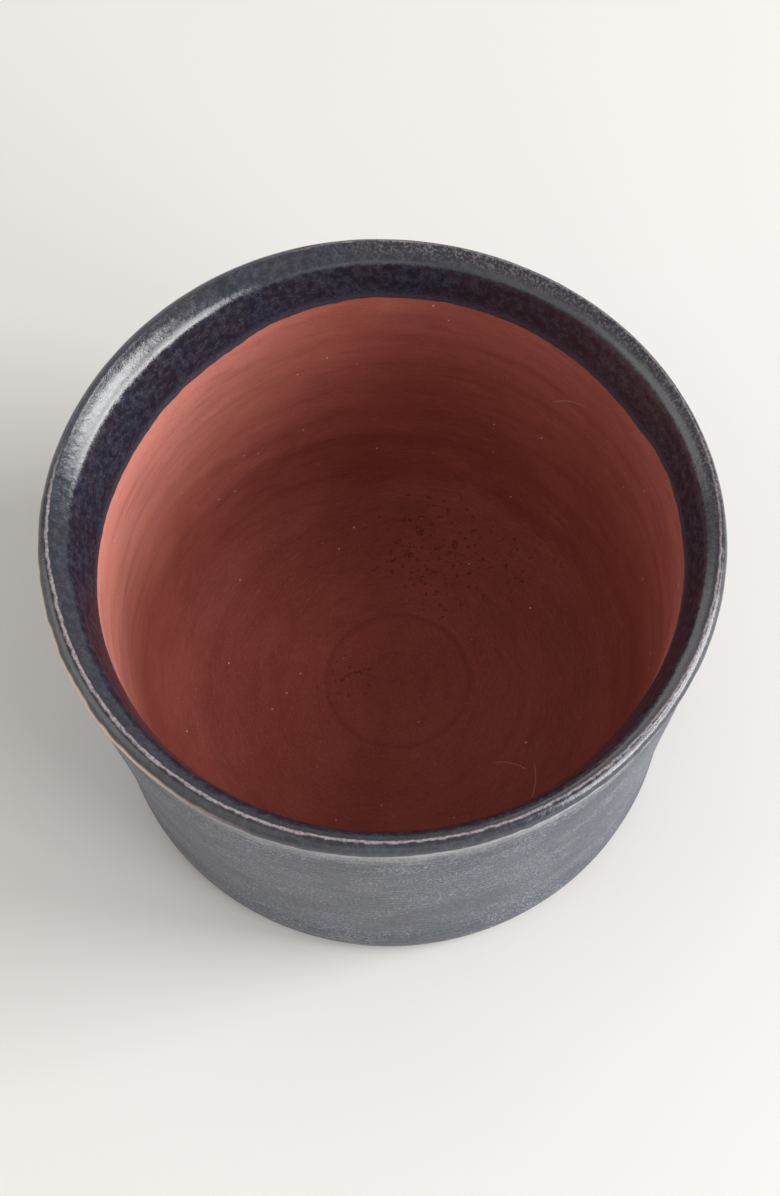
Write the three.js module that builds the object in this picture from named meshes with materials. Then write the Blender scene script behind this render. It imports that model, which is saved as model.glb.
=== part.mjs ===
// A wheel-thrown bowl: a red clay body with a satin glaze on its wall and a glossy glaze over its lip.
// Units are millimetres and +Z is up. The origin is the centre of the plane that the foot stands on.

import * as THREE from "three";

// Driving dimensions of the finished bowl, glaze included.
const rimDiameter = 180;
const bowlHeight = 114;
const footDiameter = 158.6;

// The glaze coats, the clearance between coat and clay, and the seam between the two coats.
const glazeThickness = 0.5;
const clearance = 0.3;
const coatDepth = clearance + glazeThickness;
const seamGap = 0.3;

// Bands of the outside, as heights above the foot plane.
const bareFootBand = 0.9;
const throatHeight = 102;
const outerGlazeLine = 110.4;
const widestHeight = 111;

// The lip: how far the wall stands inside the widest circle, and the crest inside that.
const throatInset = 2.2;
const glazeLineInset = 0.1;
const crestInset = 2.2;

// The inside: where the lip glaze ends, how far in it ends, and the floor.
const innerGlazeDrop = 19.5;
const innerGlazeInset = 10.3;
const floorThickness = 5.8;
const floorRadius = 54;

// The underside, turned to a shallow hollow inside a flat foot ring.
const footRingWidth = 11;
const footHollowDepth = 1.5;
const footBevel = 0.5;

// Steps round the bowl, and steps along each curved stretch of the outline.
const stepsRound = 60;
const flareSteps = 3;
const lipOutsideSteps = 4;
const lipInsideSteps = 6;
const innerWallSteps = 12;

// Radii and heights of the clay alone, under the coats.
const clayRimRadius = rimDiameter / 2 - coatDepth;
const clayCrestHeight = bowlHeight - coatDepth;
const clayFootRadius = footDiameter / 2 - coatDepth;
const clayCrestRadius = clayRimRadius - crestInset;
const clayThroatRadius = clayRimRadius - throatInset;
const innerGlazeRadius = clayRimRadius - innerGlazeInset + coatDepth;
const innerGlazeHeight = bowlHeight - innerGlazeDrop;

// Outline points are (radius, height) pairs.
function at(radius, height) {
  return new THREE.Vector2(radius, height);
}

// A smooth stretch of outline through the given points.
function smooth(steps, ...points) {
  return new THREE.SplineCurve(points).getPoints(steps);
}

// The bare underside: from the axis, across the hollow, to the outer edge of the foot.
function underside() {
  const ringOuter = clayFootRadius - footBevel;
  const ringInner = ringOuter - footRingWidth;
  return [
    at(0, footHollowDepth),
    at(ringInner - footHollowDepth, footHollowDepth),
    at(ringInner, 0),
    at(ringOuter, 0),
    at(clayFootRadius, footBevel),
  ];
}

// The outside of the wall, straight from the foot to the throat under the lip.
function outerWall() {
  const slope = (clayThroatRadius - clayFootRadius) / (throatHeight - footBevel);
  const bandRadius = clayFootRadius + slope * (bareFootBand - footBevel);
  return [at(bandRadius, bareFootBand), at(clayThroatRadius, throatHeight)];
}

// The throat flaring out to the line where the two glazes meet.
function flare() {
  return smooth(
    flareSteps,
    at(clayThroatRadius, throatHeight),
    at(clayThroatRadius + 0.3, throatHeight + 3),
    at(clayRimRadius - 0.9, outerGlazeLine - 2),
    at(clayRimRadius - glazeLineInset, outerGlazeLine),
  );
}

// The outside of the lip, from the glaze line over the widest circle to the crest.
function lipOutside() {
  return smooth(
    lipOutsideSteps,
    at(clayRimRadius - glazeLineInset, outerGlazeLine),
    at(clayRimRadius, widestHeight),
    at(clayRimRadius - 0.8, widestHeight + 1.5),
    at(clayCrestRadius, clayCrestHeight),
  );
}

// The inside of the lip, from the crest down a sloping band to the end of the gloss glaze.
function lipInside() {
  return smooth(
    lipInsideSteps,
    at(clayCrestRadius, clayCrestHeight),
    at(clayCrestRadius - 2, clayCrestHeight - 1),
    at(clayCrestRadius - 3.4, clayCrestHeight - 3.8),
    at(clayCrestRadius - 5.4, clayCrestHeight - 9.5),
    at(innerGlazeRadius, innerGlazeHeight),
  );
}

// The bare inside of the wall, which narrows and then rounds into the floor.
function innerWall() {
  return smooth(
    innerWallSteps,
    at(innerGlazeRadius, innerGlazeHeight),
    at(innerGlazeRadius - 1.8, innerGlazeHeight - 20),
    at(innerGlazeRadius - 4, innerGlazeHeight - 41),
    at(innerGlazeRadius - 7.3, innerGlazeHeight - 60),
    at(innerGlazeRadius - 12.5, innerGlazeHeight - 78),
    at(innerGlazeRadius - 19, floorThickness + 2.6),
    at(floorRadius, floorThickness + 0.5),
  );
}

// Joins stretches of outline that meet end to end, keeping each shared point once.
function join(...stretches) {
  return stretches.reduce((outline, stretch) => outline.concat(stretch.slice(1)));
}

// Moves an outline out from the clay, square to its direction of travel.
function standOff(outline, distance) {
  return outline.map((point, i) => {
    const before = outline[Math.max(i - 1, 0)];
    const after = outline[Math.min(i + 1, outline.length - 1)];
    const along = after.clone().sub(before).normalize();
    return at(point.x + along.y * distance, point.y - along.x * distance);
  });
}

// The closed outline of a glaze coat that lies over a stretch of clay.
function coat(outline) {
  const face = standOff(outline, coatDepth);
  const back = standOff(outline, clearance);
  return [...face, ...back.reverse(), face[0].clone()];
}

// The same stretch with its last point drawn back, which leaves a seam before the next coat.
function drawBack(outline, distance) {
  const last = outline.at(-1);
  const previous = outline.at(-2);
  const step = previous.clone().sub(last).setLength(distance);
  return [...outline.slice(0, -1), last.clone().add(step)];
}

// Turns an outline round +Z into a named solid.
function turned(name, outline, look) {
  const geometry = new THREE.LatheGeometry(outline, stepsRound);
  geometry.rotateX(Math.PI / 2);
  const mesh = new THREE.Mesh(geometry, new THREE.MeshStandardMaterial({ metalness: 0, ...look }));
  mesh.name = name;
  return mesh;
}

// The one thrown and fired piece of red clay: foot, wall, lip and floor.
function clayBody() {
  const outside = [...underside(), ...join(outerWall(), flare(), lipOutside())];
  const inside = join(lipInside(), innerWall());
  const floor = [at(0, floorThickness)];
  const outline = [...join(outside, inside), ...floor];
  return turned("clay_body", outline, { color: 0x9c4a38, roughness: 0.9 });
}

// The thin satin coat on the outside, which leaves the edge of the foot bare.
function wallGlaze() {
  const outline = drawBack(join(outerWall(), flare()), seamGap);
  return turned("wall_glaze", coat(outline), { color: 0x46516a, roughness: 0.5 });
}

// The thick glossy coat that wraps the lip and runs a little way down the inside.
function rimGlaze() {
  const outline = join(lipOutside(), lipInside());
  return turned("rim_glaze", coat(outline), { color: 0x1d2233, roughness: 0.15 });
}

const bowl = new THREE.Group();
bowl.name = "thrown_bowl";
bowl.add(clayBody(), wallGlaze(), rimGlaze());

export default bowl;
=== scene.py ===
# %% [markdown]
# # A wheel-thrown bowl in Blender
#
# The bowl is red earthenware, thrown on a wheel and left bare inside. Its wall carries a thin satin slate
# glaze, and its lip is dipped in a thick glossy blue-black one. The CAD model gives the sizes. This script
# makes the surfaces that a hand and a kiln leave behind: a lip that wanders, finger ridges, a ragged glaze
# edge, pits and mottling.

# %% Load the CAD frame
import math

import bpy
import numpy as np
from mathutils import Matrix, Vector


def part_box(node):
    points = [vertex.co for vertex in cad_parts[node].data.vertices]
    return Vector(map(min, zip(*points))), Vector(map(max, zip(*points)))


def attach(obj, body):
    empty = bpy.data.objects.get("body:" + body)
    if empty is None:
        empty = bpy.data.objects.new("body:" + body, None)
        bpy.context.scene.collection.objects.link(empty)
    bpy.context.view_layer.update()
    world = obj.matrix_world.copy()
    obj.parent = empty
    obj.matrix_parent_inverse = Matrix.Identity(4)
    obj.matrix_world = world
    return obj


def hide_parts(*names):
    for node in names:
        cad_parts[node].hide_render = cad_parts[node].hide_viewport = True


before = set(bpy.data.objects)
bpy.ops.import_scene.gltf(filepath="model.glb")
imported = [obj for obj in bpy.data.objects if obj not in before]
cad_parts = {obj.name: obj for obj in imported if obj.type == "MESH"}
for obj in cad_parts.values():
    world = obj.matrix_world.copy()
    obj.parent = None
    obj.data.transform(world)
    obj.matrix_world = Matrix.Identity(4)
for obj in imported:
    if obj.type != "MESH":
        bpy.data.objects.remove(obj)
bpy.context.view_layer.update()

# %% [markdown]
# ## The bowl's own measures
#
# Everything is placed from a few sizes that the CAD nodes give. The lip glaze tells how wide and how tall
# the bowl is and how far the gloss runs down inside. The wall glaze tells where the bare foot ends and
# where the two glazes meet. Working from these keeps the pieces on the CAD model if its sizes change.

# %% Sizes from the frame
MM = 0.001
lip_low, lip_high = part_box("rim_glaze")
wall_low, wall_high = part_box("wall_glaze")

RIM_RADIUS = (lip_high.x - lip_low.x) / 2
BOWL_HEIGHT = lip_high.z
GLOSS_DEPTH = lip_high.z - lip_low.z
BARE_FOOT = wall_low.z
GLAZE_SEAM = wall_high.z
print("rim radius", round(RIM_RADIUS, 4), "height", round(BOWL_HEIGHT, 4), "seam", round(GLAZE_SEAM, 4))

# %% [markdown]
# ## The outline that the wheel turns
#
# A thrown bowl is a solid of revolution, so one line from the foot, over the lip and down to the middle of
# the floor describes it. A few listed points and a smooth line through them give the soft corners of
# wet clay. The line is the clay's surface under the glaze, so it stands in from the CAD sizes by the
# thickness of the glaze. Three sizes of the lip are left open, because the same thumb that made it pressed
# harder on one side than on the other.

# %% A smooth line through chosen points
GLAZE = 0.45 * MM
FOOT_RADIUS = 0.8735 * RIM_RADIUS
FOOT_EDGE = 1.3 * MM
FLOOR_HEIGHT = 5.8 * MM
INSIDE_DROP = 19.5 * MM


def smooth_line(points, steps_per_run=40):
    """A line through the points whose direction changes smoothly, as (steps, 2) radii and heights."""
    p = np.array(points, float)
    gap = np.linalg.norm(np.diff(p, axis=0), axis=1)[:, None]
    slope = np.diff(p, axis=0) / gap
    middle = (slope[:-1] * gap[1:] + slope[1:] * gap[:-1]) / (gap[1:] + gap[:-1])
    heading = np.vstack([slope[:1], middle, slope[-1:]])
    t = np.linspace(0, 1, steps_per_run, endpoint=False)[:, None]
    runs = []
    for i in range(len(gap)):
        start = (2 * t**3 - 3 * t**2 + 1) * p[i] + (t**3 - 2 * t**2 + t) * gap[i] * heading[i]
        end = (3 * t**2 - 2 * t**3) * p[i + 1] + (t**3 - t**2) * gap[i] * heading[i + 1]
        runs.append(start + end)
    return np.vstack(runs + [p[-1:]])


# %% The outline, with the lip's three open sizes
def bowl_outline(crest_in, bevel, thick):
    """The outline for a crest this far in, a bevel this wide inside it, and a wall this much thicker."""
    rim = RIM_RADIUS - GLAZE
    top = BOWL_HEIGHT - GLAZE
    outside = [
        (FOOT_RADIUS - FOOT_EDGE, 0.0),
        (FOOT_RADIUS - 0.3 * MM, 0.4 * MM),
        (FOOT_RADIUS + 0.1 * MM, 1.4 * MM),
        (FOOT_RADIUS + 1.6 * MM, 20 * MM),
        (FOOT_RADIUS + 4.7 * MM, 55 * MM),
        (rim - 2.9 * MM, top - 24 * MM),
        (rim - 2.3 * MM, top - 12.5 * MM),
        (rim - 1.7 * MM, top - 8.5 * MM),
        (rim - 0.6 * MM, top - 5.2 * MM),
    ]
    bevel_end = crest_in + bevel
    drop = 0.70 * bevel
    throat = 10.0 * MM + thick
    lip = [
        (rim, top - 1.2 * MM - 0.65 * crest_in),
        (rim - 0.32 * crest_in, top - 0.25 * MM - 0.32 * crest_in),
        (rim - crest_in, top),
        (rim - crest_in - 0.10 * bevel, top - 0.065 * bevel),
        (rim - crest_in - 0.55 * bevel, top - 0.34 * bevel),
        (rim - bevel_end, top - drop),
        (rim - bevel_end - 0.42 * (throat - bevel_end), top - drop - 0.30 * (INSIDE_DROP - drop)),
        (rim - throat, top - INSIDE_DROP),
    ]
    inside = [
        (rim - 11.6 * MM - thick, top - 38 * MM),
        (rim - 13.6 * MM - 0.8 * thick, top - 58 * MM),
        (rim - 16.9 * MM - 0.5 * thick, top - 78 * MM),
        (rim - 21.0 * MM, top - 94 * MM),
        (rim - 25.6 * MM, FLOOR_HEIGHT + 5.4 * MM),
        (rim - 31.0 * MM, FLOOR_HEIGHT + 2.0 * MM),
        (rim - 38.0 * MM, FLOOR_HEIGHT + 0.8 * MM),
        (RIM_RADIUS * 0.3, FLOOR_HEIGHT + 0.2 * MM),
        (0.0, FLOOR_HEIGHT),
    ]
    return smooth_line(outside + lip + inside)


# %% [markdown]
# Blender's shape keys mix a basis shape with others, point by point. The outline is mixed in the same way:
# one basis line, and one key for each open size that holds how far every point moves when that size grows
# by a millimetre.

# %% The basis line and its keys
BASIS = np.array([2.0 * MM, 3.5 * MM, 1.0 * MM])
LINE = bowl_outline(*BASIS)
KEYS = [(bowl_outline(*(BASIS + step)) - LINE) / MM for step in np.eye(3) * MM]
ALONG = np.concatenate([[0], np.cumsum(np.linalg.norm(np.diff(LINE, axis=0), axis=1))])
CREST = ALONG[np.argmax(LINE[:, 1])]
WIDEST = ALONG[np.argmax(LINE[:, 0])]
LINE_END = ALONG[-1]
print("outline length", round(LINE_END, 4), "widest at", round(WIDEST, 4), "crest at", round(CREST, 4))


def along_at_height(height, inside):
    """How far along the basis line the clay reaches this height, inside or outside the bowl."""
    side = ALONG > CREST if inside else ALONG < WIDEST + 2 * MM
    order = np.argsort(LINE[side, 1])
    return np.interp(height, LINE[side, 1][order], ALONG[side][order])


SEAM = float(along_at_height(GLAZE_SEAM, inside=False))
GLOSS_END = float(along_at_height(BOWL_HEIGHT - GLOSS_DEPTH, inside=True))
print("the glazes meet at", round(SEAM, 4), "and the gloss ends at", round(GLOSS_END, 4))


# %% [markdown]
# ## What the potter's hands add
#
# No thrown lip is a true circle. This one wanders by up to two millimetres, and the wander fades down to the
# foot, which was cut from the wheel. The lip's three open sizes change round the bowl too, with two small
# kinks where the thumb was lifted. Each is given as a few sizes at chosen angles, joined up and softened so
# that no corner shows. Random noise would look like damage, not like hands.

# %% Sizes that change round the bowl
def fade(value, start, end):
    """0 before start, 1 after end, and smooth between them."""
    t = np.clip((value - start) / (end - start), 0, 1)
    return t * t * (3 - 2 * t)


def bump(distance, width):
    """1 at no distance, falling smoothly away over about this width."""
    return np.exp(-((distance / width) ** 2))


def round_lip(*stations, soft=7):
    """A function of the turn that follows (degrees, millimetres) stations, softened over some degrees."""
    degrees = np.arange(360)
    at, size = np.array(stations, float).T
    joined = np.interp(degrees, at, size, period=360)
    weight = bump(np.arange(-3 * soft, 3 * soft + 1), soft)
    softened = np.convolve(np.tile(joined, 3), weight / weight.sum(), "same")[360:720]
    return lambda turn: MM * np.interp(np.degrees(turn) % 360, degrees, softened, period=360)


# %% The lip round the bowl
lip_wander = round_lip(
    (0, 0.1), (30, -1.2), (60, -1.9), (88, -1.4), (107, 0.2), (150, 0.8), (172, 1.2), (195, 0.7),
    (225, 0.0), (270, 0.0), (300, 0.4), (315, 0.1), (335, 0.3), soft=9,
)
lip_rise = round_lip((0, -0.2), (90, -0.1), (180, 0.1), (270, 0.3))
crest_inset = round_lip(
    (0, 1.4), (30, 0.35), (92, 0.45), (107, 1.4), (150, 1.6), (168, 2.0), (182, 2.6), (188, 3.5),
    (240, 3.0), (270, 2.55), (315, 1.9), (345, 1.7), soft=3,
)
bevel_width = round_lip(
    (0, 2.7), (60, 3.8), (100, 4.4), (150, 5.2), (195, 4.0), (225, 2.7), (270, 2.2), (300, 2.1), (330, 2.7),
)
wall_extra = round_lip(
    (0, 0.6), (15, 0.0), (30, 0.4), (45, -0.3), (60, -0.6), (75, -0.6), (90, 0.0), (120, 2.0),
    (150, 2.6), (175, 2.3), (195, 1.5), (240, 0.9), (300, 0.6), (315, 1.2), (330, 0.4), (345, 0.1),
)


def lip_sizes(turn):
    """The crest's inset, the bevel's width and the wall's extra thickness, in metres, for each turn."""
    return crest_inset(turn), bevel_width(turn), wall_extra(turn)


print("lip wander", [round(float(lip_wander(math.radians(a))) * 1000, 2) for a in range(0, 360, 45)])


# %% [markdown]
# Fingers leave a spiral of soft ridges on the inside wall, and the floor keeps rings where the hand slowed
# down. The rings are centred a little off the middle, as they are when the wheel head and the clay are not
# quite true.

# %% Finger ridges and floor rings
RIDGE_PITCH = 12.5 * MM
RIDGE_HEIGHT = 0.15 * MM
SWIRL_CENTRE = (2.2 * MM, 1.8 * MM)
FLOOR_GROOVES = ((9.0, 1.3, 0.32), (21.5, 1.1, 0.48), (38.0, 2.2, 0.22), (56.5, 2.6, 0.30))


def floor_groove(turn, radius):
    """How deep the rings and the dimple in the middle are cut into the floor, in metres."""
    x = radius * np.cos(turn) - SWIRL_CENTRE[0]
    y = radius * np.sin(turn) - SWIRL_CENTRE[1]
    swirl = np.hypot(x, y)
    cut = 0.35 * MM * bump(swirl, 3.5 * MM)
    for ring, width, depth in FLOOR_GROOVES:
        cut = cut + depth * MM * bump(swirl - ring * MM, width * MM)
        cut = cut - 0.5 * depth * MM * bump(swirl - (ring + 2.2 * width) * MM, 1.4 * width * MM)
    return cut


def finger_marks(turn, along, radius):
    """How far the bare inside stands proud of the outline, in metres."""
    inside = fade(along, CREST + 20 * MM, CREST + 40 * MM)
    from_floor = LINE_END - along
    wall = inside * fade(from_floor, 55 * MM, 75 * MM)
    floor = inside * (1 - fade(from_floor, 60 * MM, 75 * MM))
    spiral = (along - CREST) / RIDGE_PITCH + turn / (2 * math.pi)
    strength = 0.7 + 0.3 * np.cos(2 * turn + along / (9 * MM))
    ridges = RIDGE_HEIGHT * strength * np.cos(2 * math.pi * spiral)
    return wall * ridges - floor * floor_groove(turn, radius)


# %% Any point of the bowl
SHAPES = [LINE, *KEYS]
SLOPES = [np.gradient(shape, ALONG, axis=0) for shape in SHAPES]


def mixed(shapes, turn, along):
    """The basis plus its keys at these places, as one array of radii and one of heights."""
    shares = [1.0] + [size - start for size, start in zip(lip_sizes(turn), BASIS)]
    return [sum(s * np.interp(along, ALONG, shape[:, i]) for s, shape in zip(shares, shapes)) for i in (0, 1)]


def clay_point(turn, along, proud=0.0):
    """Points on the clay, or this far proud of it, as (x, y, z) arrays."""
    radius, height = mixed(SHAPES, turn, along)
    step_out, step_up = mixed(SLOPES, turn, along)
    length = np.hypot(step_out, step_up)
    lift = proud + finger_marks(turn, along, radius)
    reach = (height / BOWL_HEIGHT) ** 2
    near_axis = np.minimum(1, radius / (20 * MM))
    radius = radius + step_up / length * lift + reach * lip_wander(turn) * near_axis
    height = height - step_out / length * lift + reach**2 * lip_rise(turn)
    return np.stack([radius * np.cos(turn), radius * np.sin(turn), height], axis=-1)


# %% [markdown]
# ## From points to a closed mesh
#
# Blender's Spin or Screw tool would revolve the outline, but then the wander and the ragged glaze edges
# would have to be pushed in afterwards. Here the points are worked out as a grid, one row for each step
# along the outline and one column for each step round, and the faces join neighbours. A row of the clay
# that lies on the axis becomes one point, and a glaze coat's grid also joins its last row to its first, so
# both meshes are closed. Distances that the materials need, such as how far a point lies from the crest,
# are stored on the points as named attributes.

# %% Grid meshes
def grid_mesh(name, grid, marks, first_pole=None, last_pole=None):
    """A closed mesh from (rows, columns, 3) points, closed on two poles or, without them, end to end."""
    rows, columns = grid.shape[:2]
    index = np.arange(rows * columns).reshape(rows, columns)
    right = np.roll(index, -1, axis=1)
    ringed = first_pole is None
    last = rows if ringed else rows - 1
    above = np.roll(index, -1, axis=0)
    above_right = np.roll(right, -1, axis=0)
    quads = np.stack([index, right, above_right, above], axis=-1)[:last].reshape(-1, 4)
    points = grid.reshape(-1, 3)
    faces = quads.tolist()
    if not ringed:
        low, high = len(points), len(points) + 1
        points = np.vstack([points, first_pole, last_pole])
        faces += [(right[0, i], index[0, i], low) for i in range(columns)]
        faces += [(index[-1, i], right[-1, i], high) for i in range(columns)]
    mesh = bpy.data.meshes.new(name)
    mesh.from_pydata(points.tolist(), [], faces)
    mesh.polygons.foreach_set("use_smooth", [True] * len(mesh.polygons))
    for mark, values in marks.items():
        flat = np.broadcast_to(values, (rows, columns)).ravel()
        flat = np.concatenate([flat, flat[[0, -1]][: len(points) - len(flat)]])
        mesh.attributes.new(mark, "FLOAT", "POINT").data.foreach_set("value", flat.astype(np.float32))
    mesh.update()
    piece = bpy.data.objects.new(name, mesh)
    bpy.context.scene.collection.objects.link(piece)
    print(name, len(mesh.vertices), "points", len(mesh.polygons), "faces")
    return piece


def turns(columns):
    """The angle of each column round the bowl."""
    return np.arange(columns) * 2 * math.pi / columns


# %% [markdown]
# ## The clay body
#
# The clay is one piece: a foot ring turned on the underside, the wall, the lip under its glaze, and the
# bare inside. Rows are close together inside, where the bare clay shows its ridges, and further apart
# outside, where the coats hide it.

# %% Make the clay body
CLAY_COLUMNS = 288
OUTSIDE_ROWS, COVERED_ROWS, BARE_ROWS = 70, 20, 232
TUCKED_UNDER = 6 * MM
FOOT_RING = 11 * MM
FOOT_HOLLOW = 1.5 * MM


def underside_rows():
    """Radii and heights of the hollow and the flat foot ring, from the middle outwards."""
    ring_outer = FOOT_RADIUS - FOOT_EDGE
    ring_inner = ring_outer - FOOT_RING
    radii = [0.25 * ring_inner, 0.6 * ring_inner]
    radii += [ring_inner - step * MM for step in (2.2, 1.6, 0.5)]
    heights = [share * FOOT_HOLLOW for share in (1, 1, 1, 0.85, 0.15)]
    radii += [ring_inner + 0.2 * MM, ring_outer - 0.8 * MM]
    heights += [0.0, 0.0]
    return np.array(radii)[:, None], np.array(heights)[:, None]


def make_clay_body():
    turn = turns(CLAY_COLUMNS)[None, :]
    outside = np.linspace(0, CREST, OUTSIDE_ROWS)[:-1]
    covered = np.linspace(CREST, GLOSS_END - TUCKED_UNDER, COVERED_ROWS)[:-1]
    bare = np.linspace(GLOSS_END - TUCKED_UNDER, LINE_END - 1.0 * MM, BARE_ROWS)
    along = np.concatenate([outside, covered, bare])[:, None]
    under, low = underside_rows()
    bottom = np.stack([under * np.cos(turn), under * np.sin(turn), low + 0 * turn], axis=-1)
    grid = np.concatenate([bottom, clay_point(turn, along)])
    radius, _ = mixed(SHAPES, turn, along)
    on_floor = fade(along, LINE_END - 72 * MM, LINE_END - 60 * MM)
    groove = np.concatenate([0 * (under + turn), on_floor * floor_groove(turn, radius)])
    marks = {"along": np.concatenate([under - FOOT_RADIUS, along]), "groove": groove / MM}
    floor_middle = clay_point(np.zeros(1), np.array([LINE_END]))[0]
    return grid_mesh("thrown_clay_body", grid, marks, first_pole=(0, 0, FOOT_HOLLOW), last_pole=floor_middle)


clay_body = make_clay_body()

# %% [markdown]
# ## The glaze coats
#
# A fired glaze is a skin of glass under half a millimetre thick with rounded edges. Painting it on as a
# second colour of the clay would lose its thickness, so each coat is its own closed shell. It follows the
# clay from one edge to the other, both edges wander, and its thickness drops to nothing over the last
# millimetre. The back, which nobody sees, has a third of the rows.

# %% Coats that follow the clay
COAT_GAP = 0.02 * MM
COAT_EDGE = 0.9 * MM


def make_coat(name, columns, rows, edges, thickness):
    """A closed shell between two edges, which are distances along the outline for each turn."""
    turn = turns(columns)[None, :]
    start, end = edges(turn)
    along = start + np.linspace(0, 1, rows)[:, None] * (end - start)
    edge = np.minimum(along - start, end - along)
    rounded = np.sqrt(1 - (1 - np.clip(edge / COAT_EDGE, 0, 1)) ** 2)
    front = clay_point(turn, along, COAT_GAP + thickness(turn, along) * rounded)
    back_along = along[1:-1:3][::-1]
    back = clay_point(turn, back_along, COAT_GAP / 2)
    both = np.concatenate([along, back_along])
    distances = {"from_crest": both - CREST, "from_start": both - start, "from_end": end - both}
    marks = {mark: distance / MM for mark, distance in distances.items()}
    return grid_mesh(name, np.concatenate([front, back]), marks)


def ragged(turn, size, seed):
    """A fine uneven edge made of many waves with random peaks."""
    draw = np.random.default_rng(seed)
    edge = np.zeros_like(turn)
    for n in range(9, 150, 3):
        edge = edge + np.cos(n * turn + draw.uniform(0, 2 * math.pi)) * draw.uniform(0.3, 1) / n**0.6
    return size * edge / np.abs(edge).max()


# %% Make the lip glaze
SEAM_RAGGED, SEAM_SEED = 0.35 * MM, 4
# The satin stops just short of the gloss, so the two coats never touch.
GLOSS_START, SATIN_END = SEAM + 0.5 * MM, SEAM + 0.45 * MM
gloss_rise = round_lip(
    (0, 3.2), (15, 3.6), (27, 1.6), (60, 2.6), (90, 3.2), (107, 2.2), (120, -0.6), (150, -3.0),
    (180, -3.2), (187, -2.6), (205, -2.6), (240, -1.0), (300, 2.0), (345, 3.4), soft=4,
)


def gloss_edges(turn):
    """The gloss begins at the seam and ends inside, where it ran down more on one side."""
    start = GLOSS_START + ragged(turn, SEAM_RAGGED, SEAM_SEED)
    end_height = BOWL_HEIGHT - GLOSS_DEPTH + gloss_rise(turn)
    end = along_at_height(end_height, inside=True) + ragged(turn, 0.35 * MM, seed=9)
    return start, end


def gloss_thickness(turn, along):
    """The glaze is thin where it breaks over the crest and thicker where it pooled below."""
    thin = 0.25 * bump(along - CREST, 1.0 * MM)
    lumps = 0.06 * np.cos(17 * turn + along / (1.1 * MM)) * np.cos(23 * turn - along / (1.7 * MM))
    return GLAZE * (1 - thin + lumps)


lip_glaze = make_coat("gloss_lip_glaze", 720, 84, gloss_edges, gloss_thickness)

# %% Make the wall glaze
def satin_edges(turn):
    """The satin begins above the bare foot and ends at the seam."""
    start = along_at_height(BARE_FOOT, inside=False) + ragged(turn, 0.25 * MM, seed=21)
    end = SATIN_END + ragged(turn, SEAM_RAGGED, SEAM_SEED)
    return start, end


def satin_thickness(turn, along):
    """A thin coat with the faint brush ridges that run round the wall."""
    ridges = 0.10 * np.cos(2 * math.pi * along / (3.1 * MM) + 3 * np.cos(turn))
    return 0.7 * GLAZE * (1 + ridges)


wall_glaze = make_coat("satin_wall_glaze", 480, 120, satin_edges, satin_thickness)

# %% [markdown]
# ## Materials
#
# All three finishes are node materials. Marks on thrown work follow the wheel, so they are looked up by a
# point's direction from the axis and its distance along the outline, and never by a flat projection, which
# would show a seam. A small class keeps the node making short, so that each finish reads like a list of its
# layers.

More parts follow.
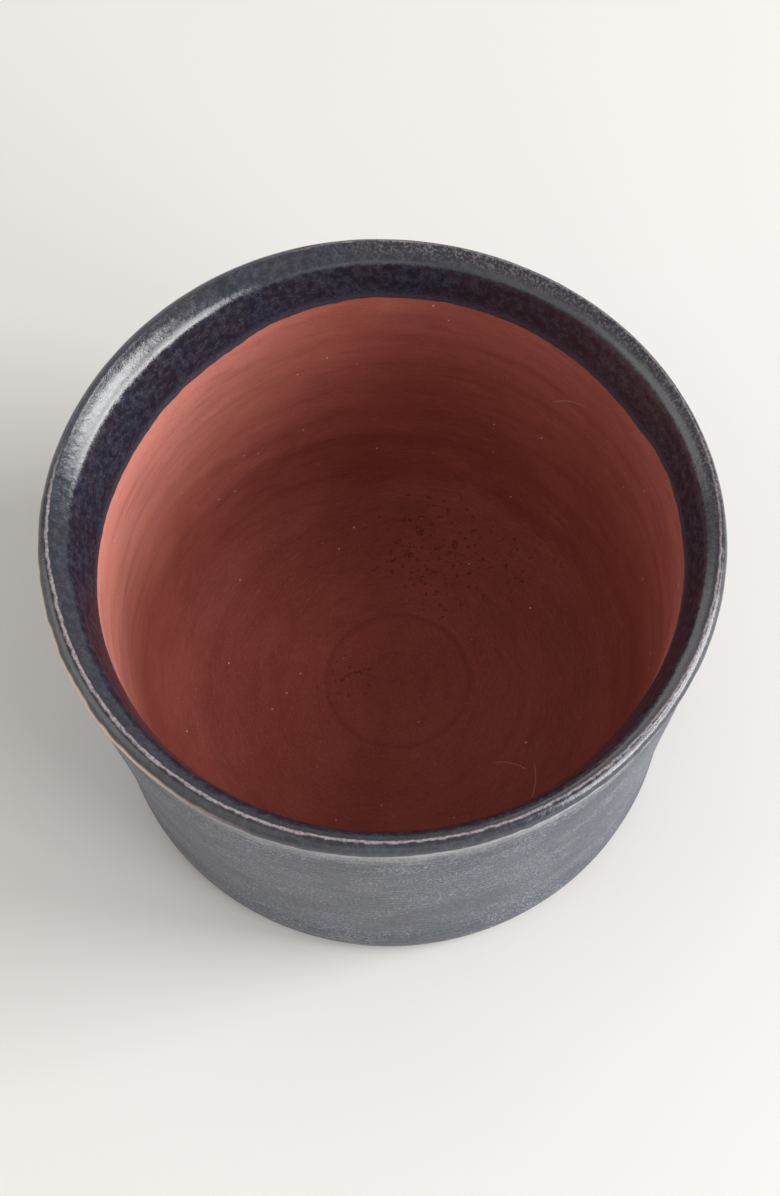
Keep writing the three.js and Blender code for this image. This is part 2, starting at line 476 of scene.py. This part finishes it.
# %% Node helpers
class Finish:
    """A material with a few short ways to add nodes."""

    def __init__(self, name, roughness):
        self.material = bpy.data.materials.new(name)
        self.material.use_nodes = True
        self.tree = self.material.node_tree
        self.shader = self.tree.nodes["Principled BSDF"]
        self.shader.inputs["Roughness"].default_value = roughness
        self.place = self.tree.nodes.new("ShaderNodeTexCoord").outputs["Object"]

    def add(self, kind, values=(), **settings):
        """A new node with its settings made and its inputs set or linked."""
        node = self.tree.nodes.new(kind)
        for key, value in settings.items():
            setattr(node, key, value)
        for key, value in dict(values).items():
            if isinstance(value, bpy.types.NodeSocket):
                self.tree.links.new(value, node.inputs[key])
            else:
                node.inputs[key].default_value = value
        return node

    def maths(self, operation, a, b=0.0):
        return self.add("ShaderNodeMath", {0: a, 1: b}, operation=operation).outputs[0]

    def times(self, first, *rest):
        for value in rest:
            first = self.maths("MULTIPLY", first, value)
        return first

    def spread(self, value, low, high, to_low=0.0, to_high=1.0):
        """value stretched so that low to high becomes to_low to to_high, and held there."""
        values = {"Value": value, "From Min": low, "From Max": high, "To Min": to_low, "To Max": to_high}
        return self.add("ShaderNodeMapRange", values, interpolation_type="SMOOTHSTEP").outputs[0]

    def blend(self, amount, a, b):
        """Two colours mixed by an amount."""
        node = self.add("ShaderNodeMix", data_type="RGBA")
        for key, value in ((0, amount), (6, a), (7, b)):
            if isinstance(value, bpy.types.NodeSocket):
                self.tree.links.new(value, node.inputs[key])
            else:
                node.inputs[key].default_value = value if key == 0 else (*value, 1)
        return node.outputs[2]

    def noise(self, vector, scale, detail=4.0, roughness=0.55):
        values = {"Vector": vector, "Scale": scale, "Detail": detail, "Roughness": roughness}
        return self.add("ShaderNodeTexNoise", values).outputs["Fac"]

    def spots(self, scale, size):
        """Round spots, one to a cell: 1 in the middle of each, and a random number for each cell."""
        cells = self.add("ShaderNodeTexVoronoi", {"Vector": self.place, "Scale": scale})
        near = self.spread(cells.outputs["Distance"], 0.6 * size, size, 1.0, 0.0)
        return near, self.split(cells.outputs["Color"])[0]

    def mark(self, name):
        """A distance or depth that was stored on the mesh."""
        return self.add("ShaderNodeAttribute", attribute_name=name).outputs["Fac"]

    def split(self, vector):
        return self.add("ShaderNodeSeparateXYZ", {0: vector}).outputs

    def round_bowl(self, along, squeeze):
        """Coordinates for marks that run round the bowl: slow round the axis and quick along the outline."""
        x, y, _ = self.split(self.place)
        squared = self.maths("ADD", self.times(x, x), self.times(y, y))
        radius = self.maths("MAXIMUM", self.maths("SQRT", squared), MM)
        across = self.times(self.maths("DIVIDE", x, radius), squeeze)
        ahead = self.times(self.maths("DIVIDE", y, radius), squeeze)
        return self.add("ShaderNodeCombineXYZ", {0: across, 1: ahead, 2: along}).outputs[0]

    def distance(self, point):
        """How far each point of the piece lies from this point."""
        node = self.add("ShaderNodeVectorMath", {0: self.place, 1: point}, operation="DISTANCE")
        return node.outputs["Value"]

    def nearby(self, centre, reach):
        """1 at a place on the bowl, falling to 0 at this distance from it."""
        return self.spread(self.distance(centre), 0.0, reach, 1.0, 0.0)

    def bumps(self, *layers):
        """Bump nodes in a chain, each (height, distance in metres), ending on the shader."""
        normal = None
        for height, distance in layers:
            values = {"Height": height, "Distance": distance, "Strength": 1.0}
            if normal:
                values["Normal"] = normal
            normal = self.add("ShaderNodeBump", values).outputs[0]
        self.tree.links.new(normal, self.shader.inputs["Normal"])

    def finish(self, colour, roughness=None):
        self.tree.links.new(colour, self.shader.inputs["Base Color"])
        if roughness:
            self.tree.links.new(roughness, self.shader.inputs["Roughness"])
        print(self.material.name, "made of", len(self.tree.nodes), "nodes")
        return self.material


# %% [markdown]
# ### Bare red clay
#
# Fired earthenware is matt and slightly sandy. Under the fingers its finest particles come to the surface
# in thin turning lines, and coarse grains show as pale specks. Where the tool dragged a grain out, a small
# pit is left, and its darkness is painted shade. The left of the wall is painted paler just under the glaze,
# a painted pool of the window's light. The floor is painted darker than the wall, painted shade where the
# right wall keeps it from the light, and the underside and the foot's edge are painted dark, painted contact
# shade where the bowl stands. The floor rings are darkened by their depth, partly slurry and partly painted
# shade. The lines, grain and specks are layers of noise and cells, and the pits are crumbs of noise that are
# kept to three patches. Each layer is mixed over the one before it, as marks lie over one another on the
# real clay.

# %% Bare red clay
# Painted light and shade among these colours: the light band is painted light, the floor shade and foot shade
# are painted shade, and the groove and pit colours are partly or wholly painted shade.
CLAY = {
    "deep": (0.308, 0.071, 0.050),
    "warm": (0.362, 0.092, 0.068),
    "painted light band": (0.60, 0.225, 0.175),
    "floor shade and dark band": (0.20, 0.045, 0.032),
    "fine line": (0.45, 0.150, 0.120),
    "dark line": (0.18, 0.039, 0.028),
    "groove": (0.13, 0.026, 0.020),
    "dark grain": (0.15, 0.033, 0.025),
    "pale grain": (0.45, 0.18, 0.14),
    "speck": (0.80, 0.58, 0.50),
    "pit": (0.085, 0.016, 0.012),
    "foot shade": (0.060, 0.024, 0.018),
    "scratch": (0.62, 0.36, 0.30),
}
# Distances along the outline between which the painted light band fades, the painted floor shade darkens and
# the painted foot shade ends.
PAINTED_LIGHT_BAND = (GLOSS_END, GLOSS_END + 75 * MM)
PAINTED_FLOOR_SHADE = (190 * MM, 250 * MM)
PAINTED_FOOT_SHADE = (2.2 * MM, 3.0 * MM)
PIT_PATCHES = (
    # middle and reach in metres
    ((0.016, 0.044, 0.008), 0.034),
    ((-0.013, 0.004, 0.006), 0.013),
    ((0.040, 0.036, 0.016), 0.022),
)
# Each scratch is part of a circle: its middle, its radius, the spot where it shows, and that spot's reach.
SCRATCHES = (
    ((0.030, -0.040, 0.006), 0.014, (0.034, -0.026, 0.006), 0.008),
    ((0.020, -0.030, 0.006), 0.021, (0.041, -0.033, 0.006), 0.009),
    ((0.050, 0.030, 0.060), 0.030, (0.052, 0.052, 0.075), 0.012),
)


def bare_clay():
    f = Finish("bare red clay", 0.8)
    f.shader.inputs["Specular IOR Level"].default_value = 0.3
    along = f.mark("along")
    lines = f.noise(f.round_bowl(along, 0.010), 1500, detail=4, roughness=0.65)
    bands = f.noise(f.round_bowl(along, 0.012), 260, detail=4)
    clouds = f.noise(f.place, 40, detail=4)
    grain = f.noise(f.place, 2200, detail=3, roughness=0.7)
    colour = f.blend(f.spread(clouds, 0.35, 0.68), CLAY["deep"], CLAY["warm"])
    # Painted light: the left wall, where the window's light falls, is painted paler just under the glaze.
    left = f.spread(f.split(f.place)[0], -80 * MM, 0.0, 0.95, 0.08)
    pale = f.times(f.spread(along, *PAINTED_LIGHT_BAND, 1.0, 0.0), left)
    colour = f.blend(pale, colour, CLAY["painted light band"])
    # Painted shade: the floor darkens towards the middle, where the right wall keeps it from the light.
    colour = f.blend(f.spread(along, *PAINTED_FLOOR_SHADE, 0.0, 0.24), colour, CLAY["floor shade and dark band"])
    # The same dark colour also makes the turning bands, which are the clay's own tone.
    colour = f.blend(f.spread(bands, 0.45, 0.70, 0.0, 0.30), colour, CLAY["floor shade and dark band"])
    colour = f.blend(f.spread(lines, 0.50, 0.70, 0.0, 0.24), colour, CLAY["fine line"])
    colour = f.blend(f.spread(lines, 0.47, 0.30, 0.0, 0.24), colour, CLAY["dark line"])
    # The rings darken with their depth: partly slurry, partly painted shade in the grooves.
    colour = f.blend(f.spread(f.mark("groove"), 0.14, 0.50, 0.0, 0.30), colour, CLAY["groove"])
    colour = f.blend(f.spread(grain, 0.54, 0.68, 0.0, 0.30), colour, CLAY["dark grain"])
    colour = f.blend(f.spread(grain, 0.46, 0.34, 0.0, 0.22), colour, CLAY["pale grain"])
    speck, chance = f.spots(230, 0.085)
    colour = f.blend(f.times(speck, f.spread(chance, 0.62, 1.0, 0.0, 0.9)), colour, CLAY["speck"])
    patch = 0.0
    for centre, reach in PIT_PATCHES:
        patch = f.maths("MAXIMUM", patch, f.nearby(centre, reach))
    crumbs = f.noise(f.place, 560, detail=3, roughness=0.65)
    pit = f.spread(f.maths("ADD", crumbs, f.times(patch, 0.13)), 0.70, 0.74)
    pit = f.times(pit, f.spread(patch, 0.05, 0.2))
    # The pits' darkness is painted shade in the holes.
    colour = f.blend(f.times(pit, 0.4), colour, CLAY["pit"])
    # Painted contact shade: the underside and the foot's edge are painted dark where the bowl stands on the
    # floor.
    colour = f.blend(f.spread(along, *PAINTED_FOOT_SHADE, 0.9, 0.0), colour, CLAY["foot shade"])
    for middle, radius, spot, reach in SCRATCHES:
        gap = f.maths("ABSOLUTE", f.maths("SUBTRACT", f.distance(middle), radius))
        hair = f.spread(gap, 0.08 * MM, 0.22 * MM, 1.0, 0.0)
        hair = f.times(hair, f.spread(f.nearby(spot, reach), 0.15, 0.5))
        hair = f.times(hair, f.spread(clouds, 0.3, 0.6, 0.15, 0.45))
        colour = f.blend(hair, colour, CLAY["scratch"])
    f.bumps((lines, 0.08 * MM), (bands, 0.10 * MM), (grain, 0.06 * MM), (f.times(pit, -1.0), 0.25 * MM))
    return f.finish(colour)


clay_body.data.materials.append(bare_clay())

# %% [markdown]
# ### Gloss lip glaze
#
# The lip glaze is nearly black where it is thick, with violet and slate blotches and fine pits like those
# of an orange skin. It ran off the crest in the kiln and left a thin rosy line there, strongest at the
# front; the line is partly that thin glaze and partly a painted highlight where light catches the crest.
# Pink speckles beside it at the back right are a painted reflection of the lit clay inside. Its outermost
# edge is tan on the left. Next to the bare clay inside, a band stayed thin and dry. Each of these is placed
# by the stored distances, which are in millimetres, so it follows the lip wherever the lip goes.

# %% Gloss lip glaze
GLOSS = {
    "black": (0.0065, 0.0072, 0.0140),
    "violet": (0.044, 0.044, 0.060),
    "slate": (0.038, 0.047, 0.072),
    "dry dark": (0.022, 0.024, 0.036),
    "dry pale": (0.066, 0.069, 0.092),
    "rosy": (0.44, 0.37, 0.39),
    "reflected clay pink": (0.23, 0.18, 0.19),
    "tan": (0.60, 0.45, 0.33),
}


def gloss_glaze():
    f = Finish("gloss blue-black glaze", 0.16)
    f.shader.inputs["IOR"].default_value = 1.72
    from_crest, from_end, from_start = f.mark("from_crest"), f.mark("from_end"), f.mark("from_start")
    x, y, _ = f.split(f.place)
    fine = f.noise(f.place, 1300, detail=4, roughness=0.7)
    blotch = f.noise(f.place, 480, detail=3, roughness=0.5)
    patches = f.noise(f.place, 80, detail=3)
    mottle = f.times(f.spread(fine, 0.30, 0.70, 0.25, 1.0), f.spread(blotch, 0.32, 0.68, 0.25, 1.0))
    slate = f.blend(f.spread(patches, 0.42, 0.58), GLOSS["violet"], GLOSS["slate"])
    colour = f.blend(mottle, GLOSS["black"], slate)
    dry = f.spread(f.maths("ADD", from_end, f.spread(blotch, 0.3, 0.7, -1.0, 1.0)), 1.2, 4.0, 1.0, 0.0)
    colour = f.blend(f.times(dry, 0.7), colour, f.blend(fine, GLOSS["dry dark"], GLOSS["dry pale"]))
    # The crest line is partly thin glaze and partly a painted highlight where light catches the crest.
    broken = f.maths("ABSOLUTE", f.maths("ADD", from_crest, f.spread(blotch, 0.3, 0.7, -0.12, 0.12)))
    shown = f.spread(f.maths("ADD", y, f.times(x, 0.15)), -4 * MM, 22 * MM, 0.85, 0.10)
    shown = f.maths("MAXIMUM", shown, f.spread(x, -35 * MM, 0.0, 0.1, 0.5))
    rosy = f.times(f.spread(broken, 0.08, 0.34, 1.0, 0.0), f.spread(fine, 0.35, 0.60, 0.4, 1.0), shown)
    colour = f.blend(rosy, colour, GLOSS["rosy"])
    # Painted reflection: speckles of the lit clay inside, on the back right of the bevel.
    back_right = f.times(f.spread(x, -20 * MM, 20 * MM), f.spread(y, -10 * MM, 20 * MM))
    reflected_clay = f.times(f.spread(from_crest, 1.0, 5.0, 0.6, 0.0), f.spread(fine, 0.50, 0.60), back_right)
    colour = f.blend(reflected_clay, colour, GLOSS["reflected clay pink"])
    left = f.spread(f.maths("SUBTRACT", x, f.times(y, 0.4)), 0.0, -50 * MM)
    tan = f.times(f.spread(from_start, 1.2, 1.9, 1.0, 0.0), left)
    colour = f.blend(f.times(tan, 0.95), colour, GLOSS["tan"])
    duller = f.times(f.maths("MAXIMUM", dry, tan), 0.25)
    roughness = f.maths("ADD", f.spread(mottle, 0.0, 0.9, 0.10, 0.24), duller)
    f.bumps((blotch, 0.08 * MM), (fine, 0.05 * MM))
    return f.finish(colour, roughness)


lip_glaze.data.materials.append(gloss_glaze())

# %% [markdown]
# ### Satin wall glaze
#
# The wall glaze was brushed on thin while the bowl turned, so it lies in short level strokes over a dark
# slate ground, and fine white crystals grew in it as it cooled. The pale band just below the lip, with a
# paler line at its top, is a painted reflection of the bright floor in front, and the dark line at the foot
# is painted contact shade. Noise that is stretched round the bowl makes the strokes, and noise that isn't
# stretched makes the crystals.

# %% Satin wall glaze
SATIN = {
    "dark": (0.013, 0.016, 0.030),
    "stroke": (0.076, 0.086, 0.116),
    "veil": (0.026, 0.031, 0.050),
    "under the lip": (0.350, 0.355, 0.365),
    "white crystal": (0.49, 0.51, 0.55),
    "dark fleck": (0.020, 0.025, 0.040),
    "top reflection line": (0.42, 0.41, 0.40),
    "foot shade line": (0.028, 0.028, 0.038),
}


def satin_glaze():
    f = Finish("satin slate glaze", 0.45)
    from_start, from_end = f.mark("from_start"), f.mark("from_end")
    level = f.times(from_start, MM)
    strokes = f.noise(f.round_bowl(level, 0.016), 640, detail=6, roughness=0.72)
    veils = f.noise(f.round_bowl(level, 0.045), 75, detail=4, roughness=0.6)
    crystals = f.noise(f.place, 1500, detail=3, roughness=0.8)
    colour = f.blend(f.spread(strokes, 0.40, 0.60), SATIN["dark"], SATIN["stroke"])
    colour = f.blend(f.spread(veils, 0.44, 0.60, 0.0, 0.60), colour, SATIN["veil"])
    # Painted reflection: the bright floor in front shows as a pale band just below the lip.
    under_lip = f.maths("ADD", from_end, f.spread(strokes, 0.3, 0.7, 4.0, -4.0))
    colour = f.blend(f.spread(under_lip, 1.0, 17.0, 0.85, 0.0), colour, SATIN["under the lip"])
    white = f.times(f.spread(crystals, 0.53, 0.60), f.spread(veils, 0.40, 0.62, 1.0, 0.35))
    colour = f.blend(f.times(white, 0.46), colour, SATIN["white crystal"])
    black = f.times(f.spread(crystals, 0.46, 0.40), f.spread(under_lip, 1.0, 9.0))
    colour = f.blend(f.times(black, 0.75), colour, SATIN["dark fleck"])
    # Painted reflection: a paler line at the top of the band below the lip.
    colour = f.blend(f.spread(from_end, 0.3, 2.2, 0.55, 0.0), colour, SATIN["top reflection line"])
    # Painted contact shade: a dark line at the foot, where the bowl meets the floor.
    colour = f.blend(f.spread(from_start, 0.3, 1.8, 0.85, 0.0), colour, SATIN["foot shade line"])
    f.bumps((strokes, 0.10 * MM), (crystals, 0.05 * MM))
    return f.finish(colour, f.spread(strokes, 0.3, 0.7, 0.36, 0.50))


wall_glaze.data.materials.append(satin_glaze())

# %% [markdown]
# ## Floor, light and camera
#
# The bowl stands on a plain pale floor beside a tall window. Four soft lamps stand for it: a high, a low
# and a sill part on the right, which give the long highlight on the lip and the shadow to the left, and a
# part nearer the front. Four wide, weak lamps stand for the walls that send the light back. A pale sky over
# it all keeps the shadow light. One tall lamp would be simpler, but its top would also light the floor of
# the bowl, which the right wall keeps in shade.

# %% Floor
PALE_FLOOR = (0.80, 0.79, 0.775)
FLOOR_HALF_WIDTH = 3.0


def plain(name, colour, roughness):
    f = Finish(name, roughness)
    f.shader.inputs["Base Color"].default_value = (*colour, 1)
    return f.material


def make_floor():
    signs = ((-1, -1), (1, -1), (1, 1), (-1, 1))
    corners = [(x * FLOOR_HALF_WIDTH, y * FLOOR_HALF_WIDTH, 0) for x, y in signs]
    mesh = bpy.data.meshes.new("floor")
    mesh.from_pydata(corners, [], [(0, 1, 2, 3)])
    floor = bpy.data.objects.new("floor", mesh)
    bpy.context.scene.collection.objects.link(floor)
    mesh.materials.append(plain("pale floor", PALE_FLOOR, 0.7))
    return floor


floor = make_floor()


# %% Light
SKY_COLOUR, SKY_STRENGTH = (1.0, 0.975, 0.94), 0.48
WHITE, WARM, BUFF = (1.0, 1.0, 1.0), (1.0, 0.99, 0.96), (1.0, 0.97, 0.92)
LAMP_DISTANCE = 2.0
LAMPS = (
    # name, azimuth, elevation, half the width and half the height in degrees, power in watts, colour
    ("window_high", -4, 41, 12, 9, 16.5, WHITE),
    ("window_low", -3, 20, 15, 9, 15.0, WHITE),
    ("window_sill", -18, 8, 25, 5, 18.0, WHITE),
    ("window_side", -38, 21, 12, 12, 13.0, WHITE),
    ("wall_front_left", -140, 24, 20, 20, 3.0, BUFF),
    ("wall_front", -90, 14, 20, 12, 2.0, WARM),
    ("wall_back_left", 120, 18, 20, 14, 4.0, BUFF),
    ("wall_left", 180, 20, 20, 16, 6.0, BUFF),
)


def soft_lamp(name, azimuth, elevation, half_width, half_height, power, colour):
    """A rectangular lamp that faces the bowl. Azimuth is measured from the right, towards the back."""
    a, e = math.radians(azimuth), math.radians(elevation)
    data = bpy.data.lights.new(name, "AREA")
    data.shape = "RECTANGLE"
    data.size = 2 * LAMP_DISTANCE * math.tan(math.radians(half_width))
    data.size_y = 2 * LAMP_DISTANCE * math.tan(math.radians(half_height))
    data.energy = power
    data.color = colour
    lamp = bpy.data.objects.new(name, data)
    away = Vector((math.cos(a) * math.cos(e), math.sin(a) * math.cos(e), math.sin(e)))
    lamp.location = Vector((0, 0, BOWL_HEIGHT / 2)) + away * LAMP_DISTANCE
    lamp.rotation_mode = "QUATERNION"
    lamp.rotation_quaternion = away.to_track_quat("Z", "Y")
    bpy.context.scene.collection.objects.link(lamp)
    print(name, "azimuth", azimuth, "elevation", elevation, "watts", power)


for lamp in LAMPS:
    soft_lamp(*lamp)


def pale_sky():
    world = bpy.data.worlds.new("pale sky")
    world.use_nodes = True
    background = world.node_tree.nodes["Background"]
    background.inputs["Color"].default_value = (*SKY_COLOUR, 1)
    background.inputs["Strength"].default_value = SKY_STRENGTH
    bpy.context.scene.world = world


pale_sky()
bpy.context.scene.view_settings.view_transform = "Standard"

# %% Camera
CAMERA_DISTANCE = 7.856 * RIM_RADIUS
CAMERA_ELEVATION = math.radians(63.96)
LOOK_AT = Vector((1.0 * MM, 4.1 * MM, 60 * MM))
CAMERA_ROLL = math.radians(-2.81)
LENS = 81.3


def make_camera():
    back = Vector((0, -math.cos(CAMERA_ELEVATION), math.sin(CAMERA_ELEVATION)))
    camera = bpy.data.objects.new("camera", bpy.data.cameras.new("camera"))
    camera.location = Vector((0, 0, BOWL_HEIGHT)) + back * CAMERA_DISTANCE
    aim = (LOOK_AT - camera.location).to_track_quat("-Z", "Y").to_matrix().to_4x4()
    camera.rotation_mode = "QUATERNION"
    camera.rotation_quaternion = (aim @ Matrix.Rotation(CAMERA_ROLL, 4, "Z")).to_quaternion()
    camera.data.lens = LENS
    camera.data.clip_start = 0.05
    bpy.context.scene.collection.objects.link(camera)
    bpy.context.scene.camera = camera


make_camera()

# %% [markdown]
# ## Put the pieces on the bowl's body
#
# Each piece rides on the bowl's one body, and the CAD node that it stands in for is hidden. The finished
# surfaces stay the size of the CAD model. Only the lip's wander reaches past it, by about a millimetre.

# %% Put each piece on the body and hide its CAD node
for piece, node, finish in (
    (clay_body, "clay_body", "red_clay"),
    (lip_glaze, "rim_glaze", "gloss_glaze"),
    (wall_glaze, "wall_glaze", "satin_glaze"),
):
    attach(piece, "root")
    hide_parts(node)
